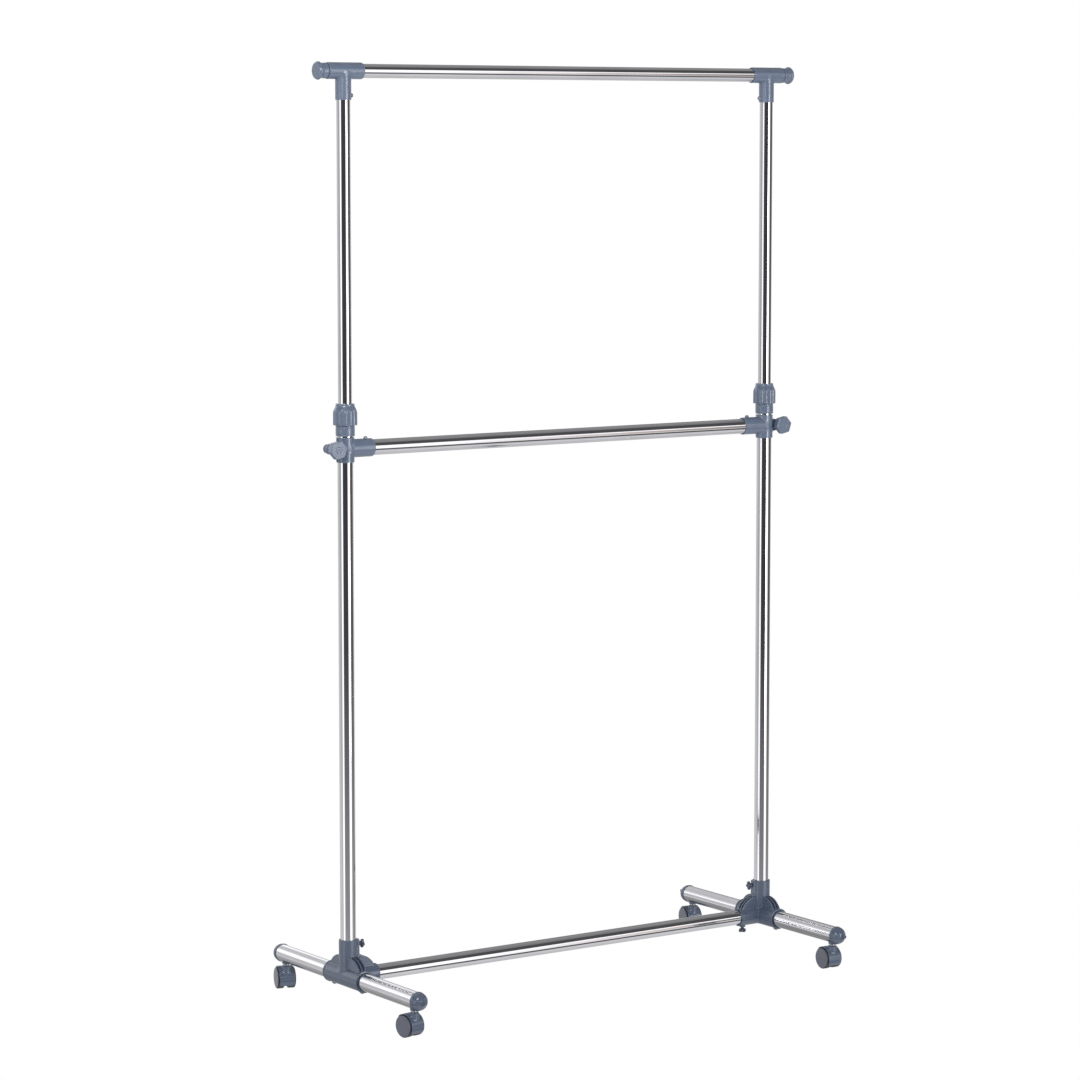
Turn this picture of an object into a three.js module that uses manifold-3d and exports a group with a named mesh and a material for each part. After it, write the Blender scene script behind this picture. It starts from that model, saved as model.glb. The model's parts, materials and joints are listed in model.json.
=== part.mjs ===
// A single-rail garment rack on casters: two telescopic posts on tubular feet, a top hanging bar with
// pull-out end rods, and a lower bar clamped on the posts. Millimetres, +Z up, floor at z = 0,
// X along the bars, -Y to the front, origin on the floor under the middle of the rack.
import * as THREE from 'three';
import { mergeVertices } from 'three/addons/utils/BufferGeometryUtils.js';
import Module from 'manifold-3d';

const wasm = await Module();
wasm.setup();

// ---- driving dimensions ----
const POST_SPACING = 830;
const HALF_SPAN = POST_SPACING / 2;
const BASE_AXIS_Z = 59;
const MID_AXIS_Z = 901.7;
const TOP_AXIS_Z = 1489;

const LOWER_POST_RADIUS = 12.5;
const UPPER_POST_RADIUS = 11;
const BAR_RADIUS = 12.5;
const TOP_BAR_RADIUS = 11;
const ROD_RADIUS = 9.5;
const FOOT_RADIUS = 14;
const TUBE_WALL = 1;
const FIT_GAP = 0.35;
const ROUND_SIDES = 16;

const FOOT_HALF_LENGTH = 204;
const LOWER_POST_BOTTOM_Z = BASE_AXIS_Z + 16.5;
const LOWER_POST_TOP_Z = 948;
const UPPER_POST_BOTTOM_Z = 650;
const UPPER_POST_TOP_Z = TOP_AXIS_Z - TOP_BAR_RADIUS - 1.5;
const TOP_BAR_HALF_LENGTH = HALF_SPAN + 28;
const ROD_LENGTH = 380;

const NUT_BOTTOM_Z = 938.7;
const NUT_SHOULDER_Z = 956;
const NUT_TOP_Z = 972.3;
const NUT_RADIUS = 19.2;
const COLLAR_BOTTOM_Z = 921.6;
const COLLAR_TOP_Z = 937.4;
const COLLAR_RADIUS = 15.2;
const SPIGOT_RADIUS = 13.9;
const SPIGOT_TOP_Z = 957;
const COLLET_TOP_Z = 969;

const SLEEVE_RADIUS = 16.8;
const SLEEVE_HALF_LENGTH = 51;
const SOCKET_RADIUS = 15.1;
const SOCKET_TOP = 60;
const CROSSBAR_SOCKET_REACH = 51;
const GUSSET_RADIUS = 33.5;
const GUSSET_THICKNESS = 15;
const BOSS_ANGLE = THREE.MathUtils.degToRad(9.5);
const BOSS_REACH = 17.5;
const POST_SCREW_HEIGHT = 51.5;
const CROSSBAR_SCREW_REACH = 40;

const TEE_RADIUS = 13;
const TEE_OUTER_REACH = 30.5;
const TEE_INNER_REACH = 33;
const TEE_DROP = 45;
const TEE_SOCKET_RADIUS = 12.6;
const TEE_SCREW_DROP = 38;
const TEE_SCREW_ANGLE = THREE.MathUtils.degToRad(12);

const CLAMP_RADIUS = 14.4;
const CLAMP_ABOVE = 17.8;
const CLAMP_BELOW = 21.5;
const CLAMP_REACH = 48.5;
const CLAMP_ARM_RADIUS = 14.3;
const EAR_REACH = 25;
const EAR_ROOT_HALF_HEIGHT = 13;
const EAR_RADIUS = 8.5;
const EAR_HALF_WIDTH = 8;
const SLIT_WIDTH = 2;
const KNOB_RADIUS = 15.6;

const CAP_RADIUS = 14.9;
const STEM_INSET = 9;
const STEM_RADIUS = 3;
const CASTER_TOP_Z = 43;

const WHEEL_APOTHEM = 17.7;
const WHEEL_RADIUS = WHEEL_APOTHEM / Math.cos(Math.PI / ROUND_SIDES);
const WHEEL_FACE_X = 15.5;
const WHEEL_INNER_X = 3.8;
const CASTER_TRAIL = 10;
const HOOD_RADIUS = 20.4;
const HOOD_HALF_WIDTH = 13.2;
const HOOD_SHELL = 1.8;
const AXLE_RADIUS = 2.5;

// Each caster trails its stem in its own direction, turned this far about its stem.
const CASTERS = [
  { name: 'left_front', side: -1, end: -1, turn: 10 },
  { name: 'left_rear', side: -1, end: 1, turn: -17 },
  { name: 'right_front', side: 1, end: -1, turn: -2 },
  { name: 'right_rear', side: 1, end: 1, turn: -11 },
];
const SIDES = [
  { name: 'left', side: -1 },
  { name: 'right', side: 1 },
];

// ---- materials ----
const polishedSteel = new THREE.MeshStandardMaterial({ color: 0xd2d2d6, roughness: 0.12, metalness: 1 });
const satinSteel = new THREE.MeshStandardMaterial({ color: 0xb9b9c0, roughness: 0.28, metalness: 1 });
const greyPlastic = new THREE.MeshStandardMaterial({ color: 0x6b7890, roughness: 0.42, metalness: 0 });
const wheelPlastic = new THREE.MeshStandardMaterial({ color: 0x62677a, roughness: 0.5, metalness: 0 });
const screwSteel = new THREE.MeshStandardMaterial({ color: 0x8f939c, roughness: 0.35, metalness: 1 });

// ---- geometry helpers ----
// Keeps only positions, merges shared corners and drops the triangles that collapse on an axis.
function weld(geometry) {
  const bare = geometry.clone();
  bare.deleteAttribute('normal');
  bare.deleteAttribute('uv');
  const merged = mergeVertices(bare, 1e-4);
  const corners = merged.getIndex().array;
  const kept = [];
  for (let i = 0; i < corners.length; i += 3) {
    const [a, b, c] = [corners[i], corners[i + 1], corners[i + 2]];
    if (a !== b && b !== c && c !== a) kept.push(a, b, c);
  }
  merged.setIndex(kept);
  return merged;
}

function toSolid(geometry) {
  const merged = weld(geometry);
  const vertProperties = new Float32Array(merged.getAttribute('position').array);
  const triVerts = new Uint32Array(merged.getIndex().array);
  return new wasm.Manifold(new wasm.Mesh({ numProp: 3, vertProperties, triVerts }));
}

function toGeometry(solid) {
  const mesh = solid.getMesh();
  const geometry = new THREE.BufferGeometry();
  geometry.setAttribute('position', new THREE.BufferAttribute(mesh.vertProperties, 3));
  geometry.setIndex(new THREE.BufferAttribute(mesh.triVerts, 1));
  return geometry;
}

function join(first, ...others) {
  return others.reduce((sum, other) => sum.add(other), first);
}

function cut(first, ...others) {
  return others.reduce((rest, other) => rest.subtract(other), first);
}

// Turns a geometry that stands along Z so that it lies along the named axis.
function along(axis, geometry) {
  if (axis === 'x') geometry.rotateY(Math.PI / 2);
  if (axis === 'y') geometry.rotateX(-Math.PI / 2);
  return geometry;
}

// A turned body about Z: [radius, height] corners, up the outside and down the inside.
function turned(profile, sides = ROUND_SIDES) {
  const points = profile.map(([radius, height]) => new THREE.Vector2(radius, height));
  const lathe = new THREE.LatheGeometry(points, sides);
  return lathe.rotateX(Math.PI / 2).rotateZ(Math.PI / sides);
}

function rod(axis, radius, from, to, sides = ROUND_SIDES) {
  const profile = [[0, from], [radius, from], [radius, to], [0, to]];
  return along(axis, turned(profile, sides));
}

function tube(axis, outer, inner, from, to, sides = ROUND_SIDES) {
  const profile = [[inner, from], [outer, from], [outer, to], [inner, to], [inner, from]];
  return along(axis, turned(profile, sides));
}

function block(x0, x1, y0, y1, z0, z1) {
  const box = new THREE.BoxGeometry(Math.abs(x1 - x0), Math.abs(y1 - y0), Math.abs(z1 - z0));
  return box.translate((x0 + x1) / 2, (y0 + y1) / 2, (z0 + z1) / 2);
}

// An outline drawn in X and Z, given its thickness along Y and centred on y = 0.
function uprightPlate(shape, thickness, curveSegments) {
  const plate = new THREE.ExtrudeGeometry(shape, { depth: thickness, bevelEnabled: false, curveSegments });
  return plate.translate(0, 0, -thickness / 2).rotateX(Math.PI / 2);
}

function lobedOutline(radius, depth, lobes, points) {
  const outline = new THREE.Shape();
  for (let i = 0; i < points; i += 1) {
    const angle = (i / points) * 2 * Math.PI;
    const reach = radius - depth * (1 - Math.cos(lobes * angle)) / 2;
    const corner = [reach * Math.cos(angle), reach * Math.sin(angle)];
    if (i === 0) outline.moveTo(...corner);
    else outline.lineTo(...corner);
  }
  return outline;
}

const rack = new THREE.Group();

function place(name, geometry, material, position = [0, 0, 0], parent = rack) {
  const mesh = new THREE.Mesh(weld(geometry), material);
  mesh.name = name;
  mesh.position.set(...position);
  parent.add(mesh);
  return mesh;
}

// ---- base: feet, brackets, crossbar, posts ----
// The tube is notched underneath at both ends, where the caster bosses pass.
function footTube() {
  const inner = FOOT_RADIUS - TUBE_WALL;
  const shell = toSolid(tube('y', FOOT_RADIUS, inner, -FOOT_HALF_LENGTH, FOOT_HALF_LENGTH));
  const notches = [-1, 1].map((end) => {
    const from = end * (FOOT_HALF_LENGTH + 1);
    const to = end * (FOOT_HALF_LENGTH - STEM_INSET - 8.5);
    return toSolid(block(-8, 8, Math.min(from, to), Math.max(from, to), -FOOT_RADIUS - 1, 0));
  });
  return toGeometry(cut(shell, ...notches));
}

// A quarter disc that braces the post socket against an arm: three ribs with two arc slots between them.
function gusset(direction) {
  const quarter = new THREE.Shape();
  const corner = SOCKET_RADIUS - 1;
  quarter.moveTo(0, 0);
  quarter.lineTo(corner + GUSSET_RADIUS, 0);
  quarter.absarc(corner, 0, GUSSET_RADIUS, 0, Math.PI / 2, false);
  quarter.lineTo(0, GUSSET_RADIUS);
  const ribWidth = GUSSET_THICKNESS / 5;
  const slotDepth = 9;
  const slot = new THREE.Shape();
  slot.absarc(corner, 0, GUSSET_RADIUS + 1, 0, Math.PI / 2, false);
  slot.absarc(corner, 0, GUSSET_RADIUS - slotDepth, Math.PI / 2, 0, true);
  const slots = [-1, 1].map((way) => {
    const plate = uprightPlate(slot, ribWidth, 4).translate(0, way * ribWidth, 0);
    return toSolid(plate.rotateZ(direction));
  });
  return cut(toSolid(uprightPlate(quarter, GUSSET_THICKNESS, 5).rotateZ(direction)), ...slots);
}

// The direction from a post to its screw: inwards, and a little to the front on the left, to the rear on
// the right, where the same moulding stands turned half round.
function screwDirection(inward, angle) {
  return inward > 0 ? -angle : Math.PI - angle;
}

// The moulded joint of foot, post and crossbar.
function baseBracket(inward) {
  const sleeve = toSolid(rod('y', SLEEVE_RADIUS, -SLEEVE_HALF_LENGTH, SLEEVE_HALF_LENGTH));
  const rims = [-1, 1].map((end) => {
    const ends = [end * SLEEVE_HALF_LENGTH, end * (SLEEVE_HALF_LENGTH - 3)].sort((a, b) => a - b);
    return toSolid(rod('y', SLEEVE_RADIUS + 0.8, ...ends));
  });
  const socket = toSolid(rod('z', SOCKET_RADIUS, -6, SOCKET_TOP));
  const armEnds = [0, inward * CROSSBAR_SOCKET_REACH].sort((a, b) => a - b);
  const arm = toSolid(rod('x', SOCKET_RADIUS, ...armEnds));
  const bossBlock = block(0, BOSS_REACH, -5.5, 5.5, GUSSET_RADIUS - 4, SOCKET_TOP);
  const boss = toSolid(bossBlock.rotateZ(screwDirection(inward, BOSS_ANGLE)));
  const inner = inward > 0 ? 0 : Math.PI;
  const gussets = [inner, Math.PI / 2, -Math.PI / 2].map(gusset);
  const body = join(sleeve, ...rims, socket, arm, boss, ...gussets);

  const footBore = toSolid(rod('y', FOOT_RADIUS + FIT_GAP, -SLEEVE_HALF_LENGTH - 1, SLEEVE_HALF_LENGTH + 1));
  const postBore = toSolid(rod('z', LOWER_POST_RADIUS + FIT_GAP, 16, SOCKET_TOP + 1));
  const barEnds = [inward * 16.2, inward * (CROSSBAR_SOCKET_REACH + 1)].sort((a, b) => a - b);
  const barBore = toSolid(rod('x', BAR_RADIUS + FIT_GAP, ...barEnds));
  const postScrew = toSolid(rod('x', STEM_RADIUS, 5, BOSS_REACH + 1, 12)
    .rotateZ(screwDirection(inward, BOSS_ANGLE)).translate(0, 0, POST_SCREW_HEIGHT));
  const barScrew = toSolid(rod('z', STEM_RADIUS, -SOCKET_RADIUS - 1, -5, 12)
    .translate(inward * CROSSBAR_SCREW_REACH, 0, 0));
  return toGeometry(cut(body, footBore, postBore, barBore, postScrew, barScrew));
}

// A thumb screw along +X: its tip just clear of the tube, a plain stem and a four-lobed head.
function thumbScrew() {
  const head = new THREE.ExtrudeGeometry(lobedOutline(7.2, 2.6, 4, 16), { depth: 4.5, bevelEnabled: false });
  const headStart = BOSS_REACH + 4;
  const stem = rod('x', STEM_RADIUS - 0.4, LOWER_POST_RADIUS + 0.4, headStart + 0.5, 12);
  return toGeometry(join(toSolid(along('x', head).translate(headStart, 0, 0)), toSolid(stem)));
}

// The ring round the top of a lower post, with the threaded spigot that the nut screws onto.
function lockCollar() {
  const bore = LOWER_POST_RADIUS + FIT_GAP;
  const guide = UPPER_POST_RADIUS + FIT_GAP;
  const tubeStop = LOWER_POST_TOP_Z + 0.3;
  return turned([
    [bore, COLLAR_BOTTOM_Z],
    [COLLAR_RADIUS, COLLAR_BOTTOM_Z],
    [COLLAR_RADIUS, COLLAR_TOP_Z],
    [SPIGOT_RADIUS, COLLAR_TOP_Z],
    [SPIGOT_RADIUS, SPIGOT_TOP_Z],
    [guide, SPIGOT_TOP_Z],
    [guide, tubeStop],
    [bore, tubeStop],
    [bore, COLLAR_BOTTOM_Z],
  ]);
}

// A split ring that the nut squeezes on the upper post.
function gripCollet() {
  const guide = UPPER_POST_RADIUS + FIT_GAP;
  const bottom = SPIGOT_TOP_Z + 0.4;
  const ring = turned([
    [guide, bottom], [13.7, bottom], [13.7, 960],
    [12.4, COLLET_TOP_Z], [guide, COLLET_TOP_Z], [guide, bottom],
  ]);
  const split = block(0, 20, -1, 1, bottom - 1, COLLET_TOP_Z + 1);
  return toGeometry(cut(toSolid(ring), toSolid(split)));
}

// The fluted nut that closes the collet on the upper post. Its flutes run out on the shoulder.
function twistNut() {
  const mouth = UPPER_POST_RADIUS + FIT_GAP;
  const thread = SPIGOT_RADIUS + 0.4;
  const throat = COLLET_TOP_Z + 0.6;
  const outside = toSolid(turned([
    [0, NUT_BOTTOM_Z], [NUT_RADIUS, NUT_BOTTOM_Z], [NUT_RADIUS, NUT_SHOULDER_Z],
    [18.2, NUT_SHOULDER_Z + 6], [15, NUT_TOP_Z - 3], [14.9, NUT_TOP_Z], [0, NUT_TOP_Z],
  ]));
  const outline = lobedOutline(NUT_RADIUS, 1.5, 12, 36);
  const grips = new THREE.ExtrudeGeometry(outline, { depth: 40, bevelEnabled: false });
  const inside = toSolid(turned([
    [0, NUT_BOTTOM_Z - 1], [thread, NUT_BOTTOM_Z - 1], [thread, 960.4], [12.9, throat],
    [mouth, throat], [mouth, NUT_TOP_Z + 1], [0, NUT_TOP_Z + 1],
  ]));
  return toGeometry(cut(outside.intersect(toSolid(grips.translate(0, 0, NUT_BOTTOM_Z - 3))), inside));
}

// The end cap of a front foot end: plug, rim, ball end, caster boss and the fin that braces the boss.
function endCap() {
  const plug = rod('y', FOOT_RADIUS - TUBE_WALL - FIT_GAP, -1, 20);
  const rim = rod('y', CAP_RADIUS, -2.3, -0.3);
  const ballSteps = 4;
  const ballRadius = 14.4;
  const profile = [[0, 0]];
  for (let i = 0; i <= ballSteps; i += 1) {
    const angle = (i / ballSteps) * Math.PI / 2;
    profile.push([ballRadius * Math.cos(angle), ballRadius * Math.sin(angle)]);
  }
  const ball = along('y', turned(profile)).rotateZ(Math.PI).translate(0, -3.5, 0);
  const neck = rod('y', ballRadius, -3.6, -2);
  const boss = rod('z', 6.8, CASTER_TOP_Z - BASE_AXIS_Z, 0).translate(0, STEM_INSET, 0);
  const fin = new THREE.Shape();
  fin.moveTo(STEM_INSET, 0);
  fin.lineTo(-16, 4);
  fin.lineTo(-26, 3.5);
  fin.quadraticCurveTo(-28, 1.5, -26, -0.5);
  fin.lineTo(-2, -15.5);
  fin.lineTo(STEM_INSET, -16);
  const finPlate = uprightPlate(fin, 3, 3).rotateZ(Math.PI / 2);
  const stemHole = rod('z', STEM_RADIUS + 0.3, -20, -2, 12).translate(0, STEM_INSET, 0);
  const parts = [rim, neck, ball, boss, finPlate].map(toSolid);
  return toGeometry(cut(join(toSolid(plug), ...parts), toSolid(stemHole)));
}

// ---- casters: local frame with the stem on Z, the axle along X, wheels trailing towards +Y ----
function casterStem() {
  return turned([[0, 35], [STEM_RADIUS, 35], [STEM_RADIUS, 39.9], [5.2, 39.9], [5.2, 42.6],
    [STEM_RADIUS, 42.6], [STEM_RADIUS, 54], [0, 54]], 12);
}

// The hood that covers both wheels from behind, over the top and down the front, on a web between them.
function casterHood() {
  const start = THREE.MathUtils.degToRad(40);
  const finish = THREE.MathUtils.degToRad(215);
  const shellArc = new THREE.Shape();
  shellArc.absarc(0, 0, HOOD_RADIUS, start, finish, false);
  shellArc.absarc(0, 0, HOOD_RADIUS - HOOD_SHELL, finish, start, true);
  const web = new THREE.Shape();
  web.moveTo(0, 0);
  web.absarc(0, 0, HOOD_RADIUS - 1, start, finish, false);
  const shell = toSolid(uprightPlate(shellArc, 2 * HOOD_HALF_WIDTH, 8).rotateZ(Math.PI / 2));
  const webPlate = toSolid(uprightPlate(web, 4, 8).rotateZ(Math.PI / 2));
  const hub = toSolid(rod('x', 6.5, -2, 2));
  const hood = join(shell, webPlate, hub).translate(0, CASTER_TRAIL, WHEEL_APOTHEM);
  const boss = toSolid(rod('z', 7.5, 28, 39.6));
  const pinHole = toSolid(rod('z', STEM_RADIUS + 0.3, 34.7, 45, 12));
  const toAxle = [0, CASTER_TRAIL, WHEEL_APOTHEM];
  const axleHole = toSolid(rod('x', AXLE_RADIUS + 0.3, -20, 20, 12).translate(...toAxle));
  const wheelRoom = [-1, 1].map((way) => {
    const ends = [way * 2.01, way * 20].sort((a, b) => a - b);
    return toSolid(rod('x', HOOD_RADIUS - HOOD_SHELL, ...ends).translate(...toAxle));
  });
  return toGeometry(cut(join(hood, cut(boss, ...wheelRoom)), pinHole, axleHole));
}

function casterAxle() {
  return rod('x', AXLE_RADIUS, -13.4, 13.4, 12);
}

// A wheel cup with a plain closed outer face, a tread and a blind hub bore, on the +X side.
function casterWheel() {
  const bore = AXLE_RADIUS + 0.3;
  return along('x', turned([
    [0, 13.8], [bore, 13.8], [bore, WHEEL_INNER_X], [WHEEL_RADIUS, WHEEL_INNER_X],
    [WHEEL_RADIUS, 12.8], [WHEEL_RADIUS - 2.5, WHEEL_FACE_X], [0, WHEEL_FACE_X],
  ]));
}

// ---- upper frame ----
// The tee that joins a post to the top bar, with the hole of its set screw.
function topTee(inward) {
  const from = inward > 0 ? -TEE_OUTER_REACH : -TEE_INNER_REACH;
  const to = inward > 0 ? TEE_INNER_REACH : TEE_OUTER_REACH;
  const arm = along('x', turned([[0, from], [TEE_RADIUS - 1.5, from], [TEE_RADIUS, from + 3],
    [TEE_RADIUS, to - 3], [TEE_RADIUS - 1.5, to], [0, to]]));
  const stem = rod('z', TEE_SOCKET_RADIUS, -TEE_DROP, 0);
  const barBore = rod('x', TOP_BAR_RADIUS + FIT_GAP, from - 1, to + 1);
  const postBore = rod('z', UPPER_POST_RADIUS + FIT_GAP, -TEE_DROP - 1, -5);
  const screwHole = rod('x', 1.8, 5, 20, 8).rotateZ(screwDirection(inward, TEE_SCREW_ANGLE))
    .translate(0, 0, -TEE_SCREW_DROP);
  const holes = [barBore, postBore, screwHole].map(toSolid);
  return toGeometry(cut(join(toSolid(arm), toSolid(stem)), ...holes));
}

function teeScrew(inward) {
  const screw = turned([[0, 11.4], [1.5, 11.4], [1.5, 13.8], [3.2, 13.8], [2.4, 15.9], [0, 16.3]], 12);
  return along('x', screw).rotateZ(screwDirection(inward, TEE_SCREW_ANGLE));
}

// A pull knob on the end of a rod, along +X from the end of the top bar: plug, neck and flared disc.
function endKnob() {
  const face = 22;
  return along('x', turned([
    [0, 0.4], [10.7, 0.4], [10.7, 3.6], [12.2, 3.6], [12.2, 8.5], [11.4, 11.8],
    [14.5, 16.2], [14.5, 18.6], [12, face], [0, face],
  ]));
}

// ---- mid rail ----
// The ears taper from the sleeve to a round end about the bolt, towards +X.
function earOutline() {
  const outline = new THREE.Shape();
  outline.moveTo(0, -EAR_ROOT_HALF_HEIGHT);
  outline.absarc(EAR_REACH, 0, EAR_RADIUS, -Math.PI / 2, Math.PI / 2, false);
  outline.lineTo(0, EAR_ROOT_HALF_HEIGHT);
  return outline;
}

// A split clamp on a post, open through its ears, with the socket of the mid bar towards +X.
function midClamp() {
  const sleeve = toSolid(rod('z', CLAMP_RADIUS, -CLAMP_BELOW, CLAMP_ABOVE));
  const arm = toSolid(along('x', turned([
    [0, 0], [CLAMP_ARM_RADIUS, 0], [CLAMP_ARM_RADIUS, CLAMP_REACH - 3],
    [CLAMP_ARM_RADIUS - 1.2, CLAMP_REACH], [0, CLAMP_REACH],
  ])));
  const ears = toSolid(uprightPlate(earOutline(), 2 * EAR_HALF_WIDTH, 5).rotateZ(Math.PI));
  const postBore = toSolid(rod('z', LOWER_POST_RADIUS + FIT_GAP, -CLAMP_BELOW - 1, CLAMP_ABOVE + 1));
  const barBore = toSolid(rod('x', BAR_RADIUS + 0.3, 14, CLAMP_REACH + 1));
  const slit = toSolid(block(-40, -5, -SLIT_WIDTH / 2, SLIT_WIDTH / 2, -30, 30));
  const boltHole = toSolid(rod('y', 3.3, -20, 20, 12).translate(-EAR_REACH, 0, 0));
  return toGeometry(cut(join(sleeve, arm, ears), postBore, barBore, slit, boltHole));
}

// The bolt lies along Y through the ears, with its neck and flat round head behind them.
function clampBolt() {
  const back = EAR_HALF_WIDTH + 0.3;
  return along('y', turned([
    [0, -20], [3, -20], [3, back], [4.5, back], [4.5, back + 4], [7.2, back + 4.4],
    [7.2, back + 6.4], [5.5, back + 7.4], [0, back + 7.4],
  ], 16));
}

// A hexagonal knob on the front of the bolt, with a dimple in its face.
function clampKnob() {
  const hexagon = new THREE.Shape();
  for (let i = 0; i < 6; i += 1) {
    const angle = (i / 6) * 2 * Math.PI + THREE.MathUtils.degToRad(12);
    const corner = [KNOB_RADIUS * Math.cos(angle), KNOB_RADIUS * Math.sin(angle)];
    if (i === 0) hexagon.moveTo(...corner);
    else hexagon.lineTo(...corner);
  }
  const head = toSolid(uprightPlate(hexagon, 10, 1).translate(0, -19, 0));
  const neck = toSolid(rod('y', 7.5, -15, -EAR_HALF_WIDTH - 0.4, 16));
  const bore = toSolid(rod('y', 3.3, -20.4, -5, 12));
  const dimple = toSolid(rod('y', 4, -25, -22.8, 12));
  return toGeometry(cut(join(head, neck), bore, dimple));
}

// ---- assembly ----
for (const { name, side } of SIDES) {
  const inward = -side;
  const post = [side * HALF_SPAN, 0, 0];
  const corner = [side * HALF_SPAN, 0, BASE_AXIS_Z];
  place(`foot_tube_${name}`, footTube(), satinSteel, corner);
  place(`base_bracket_${name}`, baseBracket(inward), greyPlastic, corner);
  place(`lower_post_${name}`, tube('z', LOWER_POST_RADIUS, LOWER_POST_RADIUS - TUBE_WALL,
    LOWER_POST_BOTTOM_Z, LOWER_POST_TOP_Z), polishedSteel, post);
  place(`lock_collar_${name}`, lockCollar(), greyPlastic, post);
  place(`grip_collet_${name}`, gripCollet(), greyPlastic, post);
  place(`twist_nut_${name}`, twistNut(), greyPlastic, post);

  const postScrew = place(`post_screw_${name}`, thumbScrew(), greyPlastic,
    [side * HALF_SPAN, 0, BASE_AXIS_Z + POST_SCREW_HEIGHT]);
  postScrew.rotation.z = screwDirection(inward, BOSS_ANGLE);
  const barScrew = place(`crossbar_screw_${name}`, thumbScrew(), greyPlastic,
    [side * (HALF_SPAN - CROSSBAR_SCREW_REACH), 0, BASE_AXIS_Z]);
  barScrew.rotation.y = Math.PI / 2;

  place(`upper_post_${name}`, tube('z', UPPER_POST_RADIUS, UPPER_POST_RADIUS - TUBE_WALL,
    UPPER_POST_BOTTOM_Z, UPPER_POST_TOP_Z), polishedSteel, post);
  const head = [side * HALF_SPAN, 0, TOP_AXIS_Z];
  place(`top_tee_${name}`, topTee(inward), greyPlastic, head);
  place(`tee_screw_${name}`, teeScrew(inward), screwSteel,
    [side * HALF_SPAN, 0, TOP_AXIS_Z - TEE_SCREW_DROP]);

  const barEnd = side * TOP_BAR_HALF_LENGTH;
  const rodEnds = [barEnd, barEnd - side * ROD_LENGTH].sort((a, b) => a - b);
  place(`extension_rod_${name}`, tube('x', ROD_RADIUS, ROD_RADIUS - TUBE_WALL, ...rodEnds),
    polishedSteel, [0, 0, TOP_AXIS_Z]);
  const knob = place(`end_knob_${name}`, endKnob(), greyPlastic, [barEnd, 0, TOP_AXIS_Z]);
  knob.rotation.z = side > 0 ? 0 : Math.PI;

  const middle = [side * HALF_SPAN, 0, MID_AXIS_Z];
  const clamp = place(`mid_clamp_${name}`, midClamp(), greyPlastic, middle);
  clamp.rotation.z = side > 0 ? Math.PI : 0;
  const bolt = [side * (HALF_SPAN + EAR_REACH), 0, MID_AXIS_Z];
  place(`clamp_bolt_${name}`, clampBolt(), greyPlastic, bolt);
  place(`clamp_knob_${name}`, clampKnob(), greyPlastic, bolt);
}

place('bottom_crossbar', tube('x', BAR_RADIUS, BAR_RADIUS - TUBE_WALL, -HALF_SPAN + 16.6, HALF_SPAN - 16.6),
  polishedSteel, [0, 0, BASE_AXIS_Z]);
place('mid_bar', tube('x', BAR_RADIUS, BAR_RADIUS - TUBE_WALL, -HALF_SPAN + 14.4, HALF_SPAN - 14.4),
  polishedSteel, [0, 0, MID_AXIS_Z]);
place('top_bar', tube('x', TOP_BAR_RADIUS, TOP_BAR_RADIUS - TUBE_WALL,
  -TOP_BAR_HALF_LENGTH, TOP_BAR_HALF_LENGTH), polishedSteel, [0, 0, TOP_AXIS_Z]);

for (const { name, side, end, turn } of CASTERS) {
  const cap = place(`end_cap_${name}`, endCap(), greyPlastic,
    [side * HALF_SPAN, end * FOOT_HALF_LENGTH, BASE_AXIS_Z]);
  cap.rotation.z = end < 0 ? 0 : Math.PI;

  const caster = new THREE.Group();
  caster.position.set(side * HALF_SPAN, end * (FOOT_HALF_LENGTH - STEM_INSET), 0);
  caster.rotation.z = THREE.MathUtils.degToRad(turn);
  rack.add(caster);
  const axle = [0, CASTER_TRAIL, WHEEL_APOTHEM];
  place(`caster_stem_${name}`, casterStem(), screwSteel, [0, 0, 0], caster);
  place(`caster_hood_${name}`, casterHood(), greyPlastic, [0, 0, 0], caster);
  place(`caster_axle_${name}`, casterAxle(), screwSteel, axle, caster);
  place(`wheel_right_${name}`, casterWheel(), wheelPlastic, axle, caster);
  const leftWheel = place(`wheel_left_${name}`, casterWheel(), wheelPlastic, axle, caster);
  leftWheel.rotation.z = Math.PI;
}

export default rack;
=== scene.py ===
"""The garment rail's looks: smooth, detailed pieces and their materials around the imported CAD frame."""
import json
import math

import bpy
import numpy as np
from mathutils import Matrix, Vector


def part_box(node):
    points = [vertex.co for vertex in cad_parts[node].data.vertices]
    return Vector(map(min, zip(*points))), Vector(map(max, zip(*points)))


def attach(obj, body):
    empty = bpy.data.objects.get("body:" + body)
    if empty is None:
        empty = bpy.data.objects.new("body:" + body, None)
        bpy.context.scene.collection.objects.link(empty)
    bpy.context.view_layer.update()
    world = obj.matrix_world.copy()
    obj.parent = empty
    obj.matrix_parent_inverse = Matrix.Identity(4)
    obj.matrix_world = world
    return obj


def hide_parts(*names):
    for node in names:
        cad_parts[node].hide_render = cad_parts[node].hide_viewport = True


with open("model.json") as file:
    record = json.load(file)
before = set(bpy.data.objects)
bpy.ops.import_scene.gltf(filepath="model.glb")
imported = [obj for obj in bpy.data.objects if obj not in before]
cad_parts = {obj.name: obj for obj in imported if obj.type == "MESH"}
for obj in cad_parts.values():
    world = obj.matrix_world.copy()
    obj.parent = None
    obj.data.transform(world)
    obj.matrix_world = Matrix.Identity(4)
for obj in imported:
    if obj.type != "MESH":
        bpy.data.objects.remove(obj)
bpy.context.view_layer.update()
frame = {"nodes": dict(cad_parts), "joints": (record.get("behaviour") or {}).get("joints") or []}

X, Y, Z = 0, 1, 2
MM = 0.001
CAD_SIDES = 16           # the CAD's round pieces have 16 flat sides, so their boxes are this much narrower
FLATNESS = math.cos(math.pi / CAD_SIDES)
TUBE_SIDES = 96
BOSS_ANGLE = math.radians(9.5)
SIDES = {"left": -1, "right": 1}
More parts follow.
